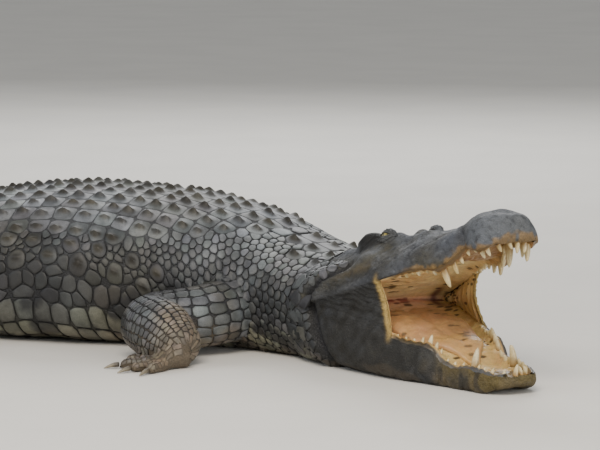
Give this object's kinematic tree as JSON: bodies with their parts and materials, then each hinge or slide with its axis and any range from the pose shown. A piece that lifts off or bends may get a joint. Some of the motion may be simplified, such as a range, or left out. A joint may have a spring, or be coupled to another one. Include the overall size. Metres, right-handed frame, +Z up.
{
  "type": "crocodile model",
  "caption": "Life-size adult Nile crocodile basking on its belly, head turned to the right with the mouth wide open, tail in a gentle curve, legs spread and resting on the floor.",
  "frame": {"origin": "on the floor under the middle of the trunk, on the flat underside of the belly", "axes": "+X forwards along the trunk, +Y towards the animal's left side, +Z up from the floor"},
  "size_m": [4.1421, 1.5289, 0.4373],
  "materials": {
    "scaly_hide": "matt scaly hide, grey with dark brown keels",
    "head_hide": "smooth slate grey skin, faintly glossy",
    "mouth_lining": "moist ochre-yellow membrane with ivory teeth",
    "tongue_skin": "moist pinkish-yellow membrane",
    "eye_surface": "wet, olive-gold iris with a slit pupil",
    "claw_horn": "dark worn horn"
  },
  "bodies": {
    "root": {"belly": "scaly_hide", "cheeks": "mouth_lining", "chest": "scaly_hide", "eye_left": "eye_surface", "eye_right": "eye_surface", "front_left_claw_1": "claw_horn", "front_left_claw_2": "claw_horn", "front_left_claw_3": "claw_horn", "front_left_foot": "scaly_hide", "front_left_lower": "scaly_hide", "front_left_upper": "scaly_hide", "front_right_claw_1": "claw_horn", "front_right_claw_2": "claw_horn", "front_right_claw_3": "claw_horn", "front_right_foot": "scaly_hide", "front_right_lower": "scaly_hide", "front_right_upper": "scaly_hide", "head": "head_hide", "hind_left_claw_1": "claw_horn", "hind_left_claw_2": "claw_horn", "hind_left_claw_3": "claw_horn", "hind_left_foot": "scaly_hide", "hind_left_lower": "scaly_hide", "hind_left_upper": "scaly_hide", "hind_right_claw_1": "claw_horn", "hind_right_claw_2": "claw_horn", "hind_right_claw_3": "claw_horn", "hind_right_foot": "scaly_hide", "hind_right_lower": "scaly_hide", "hind_right_upper": "scaly_hide", "lower_jaw": "head_hide", "mouth_floor_and_teeth": "mouth_lining", "neck": "scaly_hide", "palate_and_teeth": "mouth_lining", "tail_base": "scaly_hide", "tail_end": "scaly_hide", "tail_middle": "scaly_hide", "tail_tip": "scaly_hide", "tongue": "tongue_skin"}
  },
  "joints": []
}
